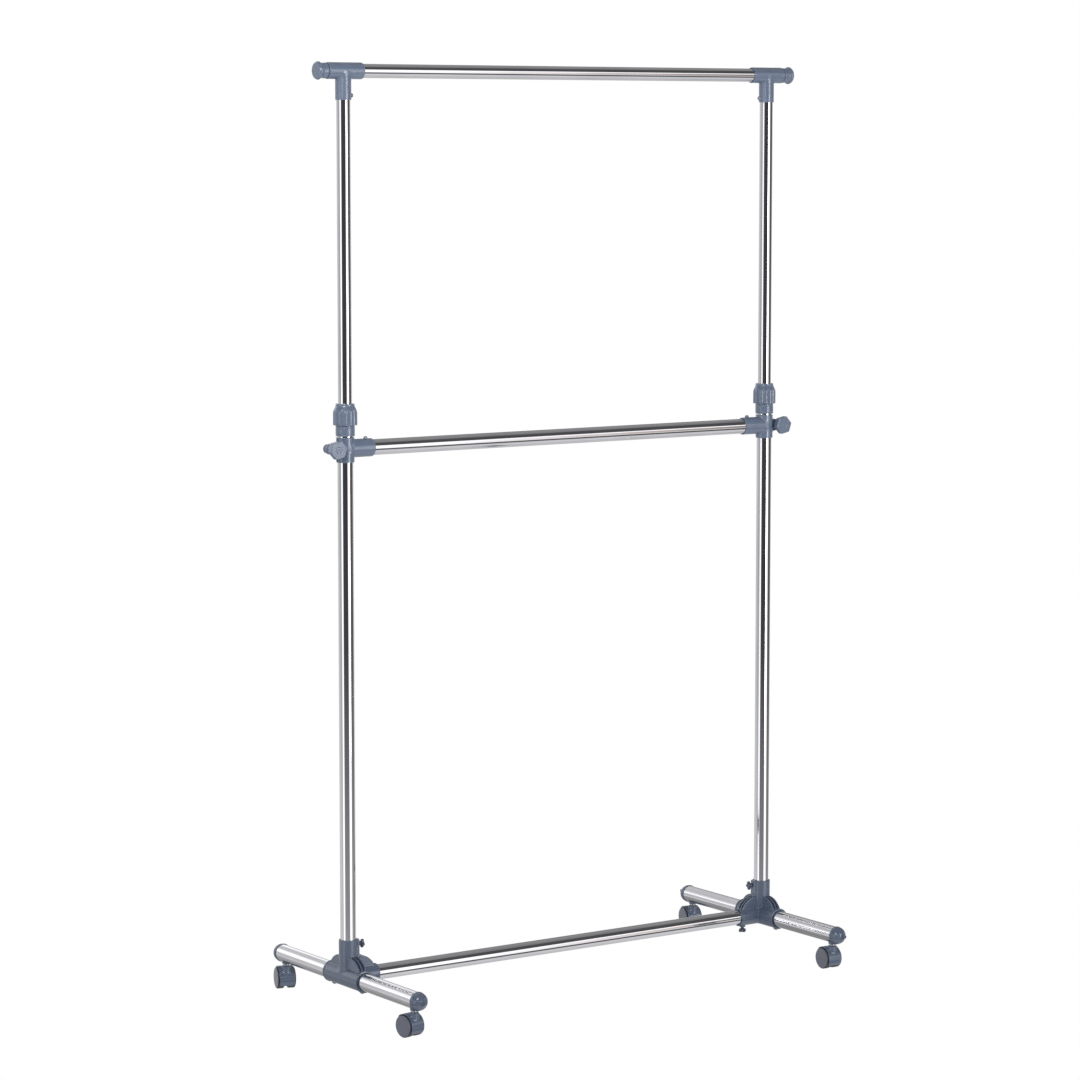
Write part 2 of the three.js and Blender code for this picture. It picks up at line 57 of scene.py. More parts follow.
CORNERS = {"left_front": (-1, -1), "left_rear": (-1, 1), "right_front": (1, -1), "right_rear": (1, 1)}


# ---- places, worked out from the frame ----
def middle(node):
    """The centre of a CAD node's box."""
    low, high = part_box(node)
    return (low + high) / 2


def round_radius(node, axis):
    """The true radius, in mm, of a 16-sided CAD piece, from its width along one axis."""
    low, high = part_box(node)
    return (high - low)[axis] / 2 / FLATNESS / MM


def joint(name):
    """One of the frame's joints, by its name."""
    return next(j for j in frame["joints"] if j["name"] == name)


POST_X = middle("lower_post_right").x
BASE_Z = middle("foot_tube_left").z
MID_Z = middle("mid_bar").z
TOP_Z = middle("top_bar").z
POST_RADIUS = round_radius("lower_post_left", X)
UPPER_RADIUS = round_radius("upper_post_left", X)
FOOT_RADIUS = round_radius("foot_tube_left", X)
FOOT_HALF = (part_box("foot_tube_left")[1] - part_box("foot_tube_left")[0]).y / 2
TUBE_WALL = 1.0
FIT = 0.35               # between a moulding and the tube in it


# ---- camera, light and floor ----
CAMERA_YAW = math.radians(34.434)
CAMERA_PITCH = math.radians(6.343)


def make_camera():
    """The camera, in front of the rack and to its left, looking slightly down."""
    data = bpy.data.cameras.new("camera")
    data.lens = 122.2
    data.sensor_width = 36
    data.clip_end = 50
    camera = bpy.data.objects.new("camera", data)
    camera.location = (-3.3997, -4.8928, 1.3939)
    camera.rotation_euler = (math.pi / 2 - CAMERA_PITCH, 0, -CAMERA_YAW)
    bpy.context.scene.collection.objects.link(camera)
    bpy.context.scene.camera = camera


class Graph:
    """Adds nodes to a node tree and links them in one call each."""

    def __init__(self, tree):
        self.tree = tree
        tree.nodes.clear()

    def add(self, kind, inputs=None, **settings):
        """A node with its inputs set, or linked where a socket is given."""
        node = self.tree.nodes.new(kind)
        for key, value in settings.items():
            setattr(node, key, value)
        for key, value in (inputs or {}).items():
            if isinstance(value, bpy.types.NodeSocket):
                self.tree.links.new(value, node.inputs[key])
            else:
                node.inputs[key].default_value = value
        return node

    def maths(self, operation, first, second=0.0, third=0.0):
        """The result of one sum."""
        node = self.add("ShaderNodeMath", {0: first, 1: second, 2: third}, operation=operation)
        return node.outputs[0]

    def ramp(self, factor, stops):
        """A colour or grey that follows a factor from stop to stop."""
        node = self.add("ShaderNodeValToRGB", {0: factor})
        node.color_ramp.interpolation = "LINEAR"
        elements = node.color_ramp.elements
        for i, (place, colour) in enumerate(stops):
            element = elements[i] if i < 2 else elements.new(place)
            element.position = place
            element.color = (*colour, 1) if isinstance(colour, tuple) else (colour, colour, colour, 1)
        return node.outputs[0]

    def mix(self, factor, first, second):
        """Two colours mixed by a factor."""
        node = self.add("ShaderNodeMix", data_type="RGBA", blend_type="MIX")
        for socket, value in ((node.inputs[0], factor), (node.inputs[6], first), (node.inputs[7], second)):
            if isinstance(value, bpy.types.NodeSocket):
                self.tree.links.new(value, socket)
            elif socket.type == "RGBA":
                socket.default_value = (*value, 1)
            else:
                socket.default_value = value
        return node.outputs[2]


WORLD_GAIN = 2.0
# What stands round the studio near eye level, by the turn from the camera's own side, in degrees.
HORIZON = [
    (-180, 0.40), (-120, 0.40), (-70, 0.25), (-65, 0.26), (-62, 0.85), (-39, 0.85), (-36, 0.035),
    (31, 0.03), (34, (0.20, 0.23, 0.42)), (37, 0.9), (67, 0.9), (70, (0.45, 0.38, 0.34)),
    (73, (0.085, 0.07, 0.06)), (126, 0.06), (134, 0.5), (180, 0.40),
]
# The rest of it on the camera's side, by the height above eye level, in degrees.
FRONT_SKY = [
    (-90, 0.46), (-38, 0.44), (-33, 0.07), (-20, 0.06), (-15, 0.85), (17, 0.85), (20, 0.05), (48, 0.05),
    (56, 0.16), (90, 0.22),
]
# The same behind the rack.
BACK_SKY = [
    (-90, 0.30), (-36, 0.16), (-22, 0.30), (0, 0.42), (12, 0.9), (24, 0.9), (30, 0.35), (60, 0.45),
    (90, 0.3),
]
# The same behind the rack, on the right.
RIGHT_SKY = [
    (-90, 0.46), (-14, 0.30), (0, 0.13), (30, 0.14), (46, 0.20), (56, 0.16), (90, 0.2),
]
# How much the eye-level surroundings cover the rest, by the height above eye level, in degrees.
LEVEL = [
    (-90, 0.0), (-15.5, 0.0), (-13.5, 0.75), (-8, 1.0), (8, 1.0), (9.5, 0.0),
]


def make_world():
    """The studio that the steel reflects, which the camera itself sees as plain white."""
    world = bpy.data.worlds.new("studio")
    bpy.context.scene.world = world
    world.use_nodes = True
    g = Graph(world.node_tree)
    direction = g.add("ShaderNodeTexCoord").outputs["Generated"]
    backward = (-math.sin(CAMERA_YAW), -math.cos(CAMERA_YAW), 0)
    rightward = (math.cos(CAMERA_YAW), -math.sin(CAMERA_YAW), 0)
    u, v = (g.add("ShaderNodeVectorMath", {0: direction, 1: way}, operation="DOT_PRODUCT").outputs["Value"]
            for way in (backward, rightward))
    turn = g.maths("ARCTAN2", v, u)
    turn = g.maths("MULTIPLY_ADD", turn, 0.5 / math.pi, 0.5)
    height = g.maths("ARCSINE", g.add("ShaderNodeSeparateXYZ", {0: direction}).outputs["Z"])
    height = g.maths("MULTIPLY_ADD", height, 1 / math.pi, 0.5)

    def by_height(stops):
        return g.ramp(height, [((angle + 90) / 180, value) for angle, value in stops])

    near = g.ramp(turn, [((angle + 180) / 360, value) for angle, value in HORIZON])
    front = by_height(FRONT_SKY)
    back = by_height(BACK_SKY)
    behind = g.ramp(turn, [(0, 1.0), (0.16, 1.0), (0.22, 0.0), (0.78, 0.0), (0.84, 1.0), (1, 1.0)])
    right = by_height(RIGHT_SKY)
    rightwards = g.ramp(turn, [(0, 1.0), (0.03, 0.0), (0.5, 0.0), (0.52, 1.0), (1, 1.0)])
    sky = g.mix(behind, front, g.mix(rightwards, back, right))
    level = by_height(LEVEL)
    studio = g.add("ShaderNodeBackground", {0: g.mix(level, sky, near), 1: WORLD_GAIN})
    white = g.add("ShaderNodeBackground", {0: (1, 1, 1, 1), 1: 1.0})
    path = g.add("ShaderNodeLightPath")
    mixed = g.add("ShaderNodeMixShader", {0: path.outputs["Is Camera Ray"], 1: studio.outputs[0],
                                          2: white.outputs[0]})
    g.add("ShaderNodeOutputWorld", {0: mixed.outputs[0]})


def make_floor():
    """A pale round floor that fades out before its edge."""
    solid_radius, fade_radius, sides = 1.3, 5.5, 96
    ring = [(fade_radius * math.cos(a), fade_radius * math.sin(a), -0.0004)
            for a in np.linspace(0, 2 * math.pi, sides, endpoint=False)]
    mesh = bpy.data.meshes.new("floor")
    mesh.from_pydata(ring, [], [list(range(sides))])
    floor = bpy.data.objects.new("floor", mesh)
    bpy.context.scene.collection.objects.link(floor)
    material = bpy.data.materials.new("floor_white")
    material.use_nodes = True
    g = Graph(material.node_tree)
    place = g.add("ShaderNodeTexCoord").outputs["Object"]
    distance = g.add("ShaderNodeVectorMath", {0: place}, operation="LENGTH").outputs["Value"]
    fade = g.add("ShaderNodeMapRange", {0: distance, 1: solid_radius, 2: fade_radius, 3: 1.0, 4: 0.0})
    seen = g.add("ShaderNodeLightPath").outputs["Is Camera Ray"]
    glow = g.maths("MULTIPLY_ADD", seen, 0.32, 0.68)
    emission = g.add("ShaderNodeEmission", {0: (1, 1, 1, 1), 1: glow})
    clear = g.add("ShaderNodeBsdfTransparent")
    mixed = g.add("ShaderNodeMixShader", {0: fade.outputs[0], 1: clear.outputs[0], 2: emission.outputs[0]})
    g.add("ShaderNodeOutputMaterial", {0: mixed.outputs[0]})
    mesh.materials.append(material)
    floor.visible_glossy = False


def soft_light(name, place, target, width, height, power, mirrored):
    """An upright area light; only a mirrored one shows in the reflections."""
    data = bpy.data.lights.new(name, "AREA")
    data.shape = "RECTANGLE"
    data.size = width
    data.size_y = height
    data.energy = power
    light = bpy.data.objects.new(name, data)
    light.location = place
    light.rotation_euler = (Vector(target) - Vector(place)).to_track_quat("-Z", "Y").to_euler()
    light.visible_glossy = mirrored
    light.visible_camera = False
    bpy.context.scene.collection.objects.link(light)


# ---- materials ----
def new_material(name):
    """A material with an empty node tree."""
    material = bpy.data.materials.new(name)
    material.use_nodes = True
    return material, Graph(material.node_tree)


def steel(name, axis, colour, roughness, spread):
    """Ground and polished tube: fine rings of grinding marks round the tube, and faint wear along it."""
    material, g = new_material(name)
    place = g.add("ShaderNodeTexCoord").outputs["Object"]
    rings = [60.0, 60.0, 60.0]
    rings[axis] = 3200.0
    marks = g.add("ShaderNodeMapping", {0: place, 3: rings})
    grinding = g.add("ShaderNodeTexNoise", {"Vector": marks.outputs[0], "Scale": 1.0, "Detail": 3.0,
                                            "Roughness": 0.6}).outputs[0]
    handling = g.add("ShaderNodeTexNoise", {"Vector": place, "Scale": 9.0, "Detail": 4.0,
                                            "Roughness": 0.55}).outputs[0]
    haze = g.maths("MULTIPLY_ADD", grinding, spread, roughness - spread / 2)
    haze = g.maths("MULTIPLY_ADD", handling, spread * 0.8, haze)
    darker = tuple(0.93 * c for c in colour)
    tint = g.ramp(handling, [(0.35, darker), (0.62, colour)])
    shader = g.add("ShaderNodeBsdfPrincipled", {"Base Color": tint, "Metallic": 1.0, "Roughness": haze})
    g.add("ShaderNodeOutputMaterial", {0: shader.outputs[0]})
    return material


def plastic(name, colour, roughness, edge, grain):
    """Moulded plastic: a fine satin grain, slight colour drift, rubbed edges, and creases darkened as
    painted shade.
    """
    material, g = new_material(name)
    place = g.add("ShaderNodeTexCoord").outputs["Object"]
    drift = g.add("ShaderNodeTexNoise", {"Vector": place, "Scale": 45.0, "Detail": 4.0,
                                         "Roughness": 0.6}).outputs[0]
    fine = g.add("ShaderNodeTexNoise", {"Vector": place, "Scale": 2200.0, "Detail": 2.0}).outputs[0]
    scuffs = g.add("ShaderNodeTexNoise", {"Vector": place, "Scale": 320.0, "Detail": 5.0,
                                          "Roughness": 0.7}).outputs[0]
    dark = tuple(0.93 * c for c in colour)
    light = tuple(1.06 * c for c in colour)
    body = g.ramp(drift, [(0.3, dark), (0.5, colour), (0.72, light)])
    point = g.add("ShaderNodeNewGeometry").outputs["Pointiness"]
    rubbed = g.ramp(point, [(0.51, 0.0), (0.55, edge), (0.6, edge)])
    pale = tuple(min(1.0, 1.7 * c + 0.03) for c in colour)
    body = g.mix(rubbed, body, pale)
    # Painted shade: concave creases are darkened towards a third of the plastic's colour.
    crease_shade = g.ramp(point, [(0.38, 0.5), (0.475, 0.0)])
    body = g.mix(crease_shade, body, tuple(0.35 * c for c in colour))
    haze = g.maths("MULTIPLY_ADD", scuffs, 0.1, roughness - 0.05)
    bump = g.add("ShaderNodeBump", {"Strength": grain, "Distance": 0.00002, "Height": fine})
    shader = g.add("ShaderNodeBsdfPrincipled", {"Base Color": body, "Roughness": haze, "IOR": 1.6,
                                                "Normal": bump.outputs[0]})
    g.add("ShaderNodeOutputMaterial", {0: shader.outputs[0]})
    return material


def screw_metal(name):
    """Zinc-plated screw steel, slightly dulled."""
    material, g = new_material(name)
    place = g.add("ShaderNodeTexCoord").outputs["Object"]
    cloud = g.add("ShaderNodeTexNoise", {"Vector": place, "Scale": 500.0, "Detail": 4.0}).outputs[0]
    tint = g.ramp(cloud, [(0.3, (0.30, 0.31, 0.34)), (0.7, (0.50, 0.51, 0.54))])
    haze = g.maths("MULTIPLY_ADD", cloud, 0.2, 0.25)
    shader = g.add("ShaderNodeBsdfPrincipled", {"Base Color": tint, "Metallic": 1.0, "Roughness": haze})
    g.add("ShaderNodeOutputMaterial", {0: shader.outputs[0]})
    return material


# ---- shapes by distance fields: p is a list of the x, y and z of many points, in mm ----
def join(a, b, k=0.01):
    """Both solids, with a fillet of about k where they meet."""
    h = np.maximum(k - np.abs(a - b), 0) / k
    return np.minimum(a, b) - h * h * k / 4


def cut(a, b, k=0.01):
    """The first solid without the second, with its new edge eased by about k."""
    return -join(-a, b, k)


def both(a, b, edge=0.0):
    """Where two solids overlap, with that edge rounded."""
    a, b = a + edge, b + edge
    return np.hypot(np.maximum(a, 0), np.maximum(b, 0)) + np.minimum(np.maximum(a, b), 0) - edge


def between(value, start, finish):
    """A slab from start to finish."""
    return np.abs(value - (start + finish) / 2) - abs(finish - start) / 2


def cylinder(p, axis, radius, start, finish, edge=0.7):
    """A cylinder round an axis, its rims rounded."""
    u, v = (p[i] for i in range(3) if i != axis)
    return both(np.hypot(u, v) - radius, between(p[axis], start, finish), edge)


def block(p, low, high, edge=0.7):
    """A box between two corners, its edges rounded."""
    spans = [between(p[i], low[i], high[i]) for i in range(3)]
    return both(both(spans[X], spans[Y], edge), spans[Z], edge)


def moved(p, x=0.0, y=0.0, z=0.0):
    """The points as seen by a shape that is moved."""
    return [p[X] - x, p[Y] - y, p[Z] - z]


def turned(p, angle, axis=Z):
    """The points as seen by a shape that is turned by angle about an axis."""
    u, v = (axis + 1) % 3, (axis + 2) % 3
    c, s = math.cos(angle), math.sin(angle)
    q = list(p)
    q[u] = c * p[u] + s * p[v]
    q[v] = -s * p[u] + c * p[v]
    return q


def convex(u, v, corners):
    """A convex outline in two directions, its corners listed anticlockwise."""
    sides = []
    for (u0, v0), (u1, v1) in zip(corners, corners[1:] + corners[:1]):
        length = math.hypot(u1 - u0, v1 - v0)
        sides.append(((v1 - v0) * (u - u0) - (u1 - u0) * (v - v0)) / length)
    return np.maximum.reduce(sides)


def net(field, low, high, cell):
    """The surface of a distance field, as points, faces and the field's own normals at the points."""
    axes = [np.arange(a - 2 * cell, b + 2.5 * cell, cell, dtype=np.float32)
            for a, b in zip(low, high)]
    value = field(np.meshgrid(*axes, indexing="ij"))
    inside = value < 0
    shape = [n - 1 for n in value.shape]
    corners = [(i, j, k) for i in (0, 1) for j in (0, 1) for k in (0, 1)]
    count = sum(inside[i:i + shape[X], j:j + shape[Y], k:k + shape[Z]].astype(np.int8)
                for i, j, k in corners)
    crossed = (count > 0) & (count < 8)
    where = np.argwhere(crossed)
    number = np.full(shape, -1, np.int64)
    number[crossed] = np.arange(len(where))
    total = np.zeros((len(where), 3))
    hits = np.zeros(len(where))
    for corner in corners:
        for axis in (a for a in range(3) if corner[a] == 0):
            step = np.eye(3, dtype=int)[axis]
            here = value[tuple((where + corner).T)]
            there = value[tuple((where + corner + step).T)]
            crosses = (here < 0) != (there < 0)
            share = here / np.where(crosses, here - there, 1)
            total += crosses[:, None] * (corner + share[:, None] * step)
            hits += crosses
    points = (where + total / hits[:, None]) * cell + [axis[0] for axis in axes]

    quads = []
    for axis in range(3):
        u, v = (axis + 1) % 3, (axis + 2) % 3
        changes = np.argwhere(np.diff(inside, axis=axis))
        ring = []
        for du, dv in ((-1, -1), (0, -1), (0, 0), (-1, 0)):
            cells = changes.copy()
            cells[:, u] += du
            cells[:, v] += dv
            ring.append(number[tuple(cells.T)])
        ring = np.stack(ring, 1)
        backwards = ~inside[tuple(changes.T)]
        ring[backwards] = ring[backwards][:, ::-1]
        quads.append(ring)
    points = settle(field, points, cell)
    normals = slopes(field, points, 0.1)
    normals /= np.maximum(np.linalg.norm(normals, axis=1), 1e-6)[:, None]
    return points, np.concatenate(quads), normals


def slopes(field, points, step):
    """How fast a field rises along X, Y and Z at each point."""
    steps = step / 2 * np.eye(3)
    rises = [field(list((points + move).T)) - field(list((points - move).T)) for move in steps]
    return np.stack(rises, 1) / step


def settle(field, points, cell):
    """The points moved onto the surface of a field."""
    for _ in range(4):
        slope = slopes(field, points, 0.02)
        steepness = np.maximum((slope ** 2).sum(1), 0.2)
        shift = slope * (field(list(points.T)) / steepness)[:, None]
        points = points - np.clip(shift, -cell / 2, cell / 2)
    return points


# ---- shapes turned about an axis ----
def softened(profile, radius, steps=3, closed=False):
    """A profile with its corners made into short curves, and rings beside them to keep the flats flat."""
    points = [np.array(p, float) for p in profile]
    out = [] if closed else [points[0]]
    count = len(points)
    for i in range(0 if closed else 1, count if closed else count - 1):
        before, here, after = points[i - 1], points[i], points[(i + 1) % count]
        start, finish = ((other - here) * min(radius / np.linalg.norm(other - here), 0.4)
                         for other in (before, after))
        out.append(here + 1.2 * start)
        for t in np.linspace(0, 1, steps + 1):
            out.append(here + (1 - t) ** 2 * start + t * t * finish)
        out.append(here + 1.2 * finish)
    if not closed:
        out.append(points[-1])
    return out


def lathe(profile, sides=64, closed=False):
    """A profile of (radius, height) turned about Z, going up the outside."""
    points, rings = [], []
    for radius, height in profile:
        ring = []
        for i in range(1 if radius < 1e-6 else sides):
            angle = 2 * math.pi * i / sides
            ring.append(len(points))
            points.append((radius * math.cos(angle), radius * math.sin(angle), height))
        rings.append(ring)
    faces = []
    for low, high in zip(rings, rings[1:] + (rings[:1] if closed else [])):
        for i in range(sides):
            j = (i + 1) % sides
            corners = [low[i % len(low)], low[j % len(low)], high[j % len(high)], high[i % len(high)]]
            corners = list(dict.fromkeys(corners))
            if len(corners) > 2:
                faces.append(corners)
    return np.array(points), faces


def pipe(radius, start, finish):
    """A tube along Z with its ends deburred."""
    inner = radius - TUBE_WALL
    profile = [(inner, start), (radius, start), (radius, finish), (inner, finish)]
    return lathe(softened(profile, 0.3, 2, closed=True), TUBE_SIDES, closed=True)


# ---- pieces ----
def facing(direction):
    """The turn that takes Z to a direction."""
    return Vector((0, 0, 1)).rotation_difference(Vector(direction)).to_matrix().to_4x4()


def piece(node, shape, place, body, material, turn=None, replaces=True):
    """Makes one piece of the visual model from a shape in mm, set in the frame, in place of a CAD node."""
    points, faces, *normals = shape
    faces = faces.tolist() if isinstance(faces, np.ndarray) else faces
    turn = turn or Matrix.Identity(4)
    mesh = bpy.data.meshes.new(node + "_fine")
    mesh.from_pydata((points * MM).tolist(), [], faces)
    mesh.transform(Matrix.Translation(place) @ turn)
    mesh.shade_smooth()
    if normals:
        mesh.normals_split_custom_set_from_vertices((normals[0] @ np.array(turn.to_3x3()).T).tolist())
    else:
        mesh.set_sharp_from_angle(angle=math.radians(40))
    mesh.materials.append(material)
    made = bpy.data.objects.new(node + "_fine", mesh)
    bpy.context.scene.collection.objects.link(made)
    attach(made, body)
    if replaces:
        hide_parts(node)
    return made


# ---- base ----
SLEEVE_RADIUS, SLEEVE_HALF = 16.8, 51.0
SOCKET_RADIUS, SOCKET_TOP = 15.1, 60.0
ARM_REACH = 51.0
GUSSET_RADIUS, GUSSET_HALF, GUSSET_CENTRE = 33.5, 7.5, 14.1
RIB = 2.6
SLOT_DEPTH = 9.0
SCREW_STEM = 2.6
HEAD_START, HEAD_FINISH = 21.5, 26.0
LOBE_REACH, LOBE_DEPTH = 7.2, 1.3
POST_SCREW_HEIGHT = 51.5
CROSSBAR_SCREW_REACH = 40.0
SET_SCREW_Y = 42.0


def gusset(q):
    """A quarter disc along +X with two arc slots between its three ribs."""
    disc = np.hypot(q[X] - GUSSET_CENTRE, q[Z]) - GUSSET_RADIUS
    plate = both(disc, between(q[Y], -GUSSET_HALF, GUSSET_HALF), 0.6)
    slots = both(-(disc + SLOT_DEPTH), between(np.abs(q[Y]), RIB / 2, GUSSET_HALF - RIB), 0.3)
    plate = cut(plate, slots, 0.3)
    return np.maximum(plate, np.maximum(-q[Z] - 2, -q[X]))


def base_bracket(p):
    """The moulded joint of foot, post and crossbar, with the crossbar towards +X."""
    solid = cylinder(p, Y, SLEEVE_RADIUS, -SLEEVE_HALF, SLEEVE_HALF)
    for end in (-1, 1):
        rim = cylinder(p, Y, SLEEVE_RADIUS + 0.8, end * (SLEEVE_HALF - 3), end * SLEEVE_HALF, 0.5)
        solid = join(solid, rim, 0.6)
    solid = join(solid, cylinder(p, Z, SOCKET_RADIUS, -6, SOCKET_TOP), 2.0)
    solid = join(solid, cylinder(p, X, SOCKET_RADIUS, 0, ARM_REACH), 2.0)
    q = turned(p, -BOSS_ANGLE)
    solid = join(solid, block(q, (0, -5.5, 29.5), (17.5, 5.5, SOCKET_TOP), 1.2), 1.2)
    for quarter in (0, 1, -1):
        solid = join(solid, gusset(turned(p, quarter * math.pi / 2)), 1.6)
    lug = cylinder(moved(p, CROSSBAR_SCREW_REACH), Z, 5.2, -17.6, -8, 0.8)
    solid = join(solid, lug, 1.5)
    for y in (-SET_SCREW_Y, SET_SCREW_Y):
        solid = join(solid, cylinder(moved(p, 0, y), Z, 4.4, -18.2, -8, 0.7), 1.2)
    solid = cut(solid, cylinder(p, Y, FOOT_RADIUS + FIT, -SLEEVE_HALF - 3, SLEEVE_HALF + 3), 0.6)
    solid = cut(solid, cylinder(p, Z, POST_RADIUS + FIT, 16, SOCKET_TOP + 3), 0.6)
    solid = cut(solid, cylinder(p, X, POST_RADIUS + FIT, 16.2, ARM_REACH + 3), 0.6)
    hole = cylinder(moved(q, 0, 0, POST_SCREW_HEIGHT), X, SCREW_STEM + 0.4, 5, 20, 0.1)
    solid = cut(solid, hole, 0.3)
    return cut(solid, cylinder(moved(p, CROSSBAR_SCREW_REACH), Z, SCREW_STEM + 0.4, -20, -5, 0.1), 0.3)


def thumb_screw(p):
    """A screw along +Z with a four-lobed head."""
    angle = np.arctan2(p[Y], p[X])
    reach = LOBE_REACH - LOBE_DEPTH * (1 - np.cos(4 * angle))
    head = both(0.8 * (np.hypot(p[X], p[Y]) - reach), between(p[Z], HEAD_START, HEAD_FINISH), 1.0)
    head = join(head, cylinder(p, Z, 4.4, 20.5, 22.5, 0.4), 0.6)
    return join(head, cylinder(p, Z, SCREW_STEM, POST_RADIUS + 0.4, 22.5, 0.2), 0.4)


def pan_screw(p):
    """A small cross-slotted screw along +Z, its seat at z = 0."""
    head = both(np.sqrt(p[X] ** 2 + p[Y] ** 2 + (p[Z] + 1.2) ** 2) - 3.7, -p[Z], 0.25)
    shank = cylinder(p, Z, 1.5, -3.0, 0.5, 0.1)
    along = block(p, (-2, -0.4, 1.5), (2, 0.4, 4), 0.1)
    across = block(p, (-0.4, -2, 1.5), (0.4, 2, 4), 0.1)
    return cut(join(head, shank), np.minimum(along, across), 0.1)


SMALL_SCREW = net(pan_screw, (-4, -4, -3.2), (4, 4, 2.8), 0.2)


def foot_tube():
    """The foot's tube along Z."""
    return pipe(FOOT_RADIUS, -FOOT_HALF / MM, FOOT_HALF / MM)


BALL_RADIUS, BALL_CENTRE = 14.4, -3.5
RIM_RADIUS = 14.9
STEM_INSET = 9.0
STEM_HOLE = 3.3
CASTER_TOP = -16.0
FIN = [
    (9.0, 0.0), (-16.0, 4.0), (-26.0, 3.4), (-26.85, 1.6), (-26.0, -0.6), (-2.0, -15.6), (9.0, -16.0),
]


def end_cap(p):
    """The cap of a front foot end, outward to -Y: plug, rim, ball, caster boss and the fin beside it."""
    plug = cylinder(p, Y, FOOT_RADIUS - TUBE_WALL - FIT, -1, 20)
    rim = cylinder(p, Y, RIM_RADIUS, -2.5, -0.3, 0.5)
    ball = np.sqrt(p[X] ** 2 + (p[Y] - BALL_CENTRE) ** 2 + p[Z] ** 2) - BALL_RADIUS
    ball = both(ball, p[Y] - BALL_CENTRE, 0.3)
    neck = cylinder(p, Y, BALL_RADIUS, BALL_CENTRE - 0.8, -1.5, 0.1)
    fin = both(convex(p[Y], p[Z], FIN), between(p[X], -1.6, 1.6), 0.6)
    solid = join(join(plug, rim, 0.3), join(ball, neck, 0.2), 0.4)
    solid = join(solid, fin, 1.6)
    solid = join(solid, cylinder(moved(p, 0, STEM_INSET), Z, 6.8, CASTER_TOP, 0, 0.6), 0.8)
    return cut(solid, cylinder(moved(p, 0, STEM_INSET), Z, STEM_HOLE, -20, -2, 0.2), 0.3)


# ---- casters: stem on Z, axle along X, wheels trailing towards +Y, floor at z = 0 ----
TRAIL, AXLE_HEIGHT, TREAD_EDGE = 10.0, 17.7, 16.6
HOOD_RADIUS, HOOD_SHELL, HOOD_HALF = 19.6, 1.5, 12.6
HOOD_START, HOOD_FINISH = math.radians(40), math.radians(215)


def caster_hood(p):
    """The hood over both wheels, its web between them and the boss for its stem."""
    q = moved(p, 0, TRAIL, AXLE_HEIGHT)
    reach = np.hypot(q[Y], q[Z])
    sector = np.maximum(math.sin(HOOD_START) * q[Y] - math.cos(HOOD_START) * q[Z],
                        math.cos(HOOD_FINISH) * q[Z] - math.sin(HOOD_FINISH) * q[Y])
    sheet = both(between(q[X], -HOOD_HALF, HOOD_HALF), sector, 4.0)
    shell = both(between(reach, HOOD_RADIUS - HOOD_SHELL, HOOD_RADIUS), sheet, 0.5)
    web = both(both(reach - HOOD_RADIUS + 1, between(q[X], -2, 2), 0.3), sector, 0.3)
    solid = join(shell, web, 1.0)
    solid = join(solid, cylinder(q, X, 6.5, -2, 2, 0.3), 0.5)
    boss = cylinder(p, Z, 7.5, 28, 39.6, 0.8)
    room = both(reach - HOOD_RADIUS + HOOD_SHELL, 2.0 - np.abs(q[X]), 0.1)
    solid = join(solid, cut(boss, room), 2.0)
    solid = cut(solid, cylinder(p, Z, STEM_HOLE, 34.7, 50, 0.1), 0.3)
    return cut(solid, cylinder(q, X, 2.8, -20, 20, 0.1))


def caster_wheel():
    """One wheel along +Z: a cup with a round-edged tread and a plain outer face set on it."""
    profile = [(0, 13.6), (2.8, 13.6), (2.8, 3.9), (5.2, 3.9), (5.2, 11.0), (15.0, 11.0), (15.4, 3.9),
               (17.4, 3.9), (17.7, 6.0), (17.7, 14.0), (TREAD_EDGE, 15.0), (15.4, 15.3), (0, 15.5)]
    return lathe(softened(profile, 0.5), 72)


def colour_tread_and_gap_shade(wheel, centre, axle, material):
    """Gives the running surface of a wheel a near-black material: dark rubber, and painted shade for the
    dark gap between wheel and hood.
    """
    wheel.data.materials.append(material)
    for face in wheel.data.polygons:
        reaches = [(wheel.data.vertices[v].co - centre).cross(axle).length for v in face.vertices]
        face.material_index = 1 if min(reaches) > TREAD_EDGE * MM else 0


def caster_stem():
    """The pin that a caster swivels on, with its collar."""
    profile = [(0, 35), (2.9, 35), (2.9, 39.9), (5.2, 39.9), (5.2, 42.6), (3, 42.6), (3, 53.6),
               (0, 54)]
    return lathe(softened(profile, 0.4), 48)


# ---- posts ----
NUT_BOTTOM, NUT_TOP = 938.7, 972.3
NUT_ROOT, NUT_NECK, NUT_BORE = 17.3, 14.9, 14.3
FLUTES, FLUTE_DEPTH = 12, 1.9
COLLAR_RADIUS, GROOVE_RADIUS = 15.2, 14.8
THREAD_CREST, THREAD_ROOT = 13.9, 13.4
NUT_SHOULDER = [(0, 930), (19.2, 930), (19.2, 957.5), (18.3, 961.5), (14.9, 969.0), (0, 978)]


def twist_nut(p):
    """The fluted nut: its flutes run out on the shoulder, under a plain neck."""
    reach = np.hypot(p[X], p[Y])
    angle = np.arctan2(p[Y], p[X])
    wave = 0.5 + 0.5 * np.cos(FLUTES * angle)
    fluted = 0.9 * (reach - (NUT_ROOT + FLUTE_DEPTH * np.sqrt(wave)))
    skirt = both(fluted, convex(reach, p[Z], NUT_SHOULDER), 0.6)
    skirt = both(skirt, NUT_BOTTOM - p[Z], 0.8)
    outside = join(skirt, cylinder(p, Z, NUT_NECK, 950, NUT_TOP, 0.8), 0.8)
    thread = cylinder(p, Z, NUT_BORE, 930, 960, 0.3)
    mouth = cylinder(p, Z, UPPER_RADIUS + FIT, 950, 990, 0.2)
    return cut(outside, join(thread, mouth, 2.0), 0.5)


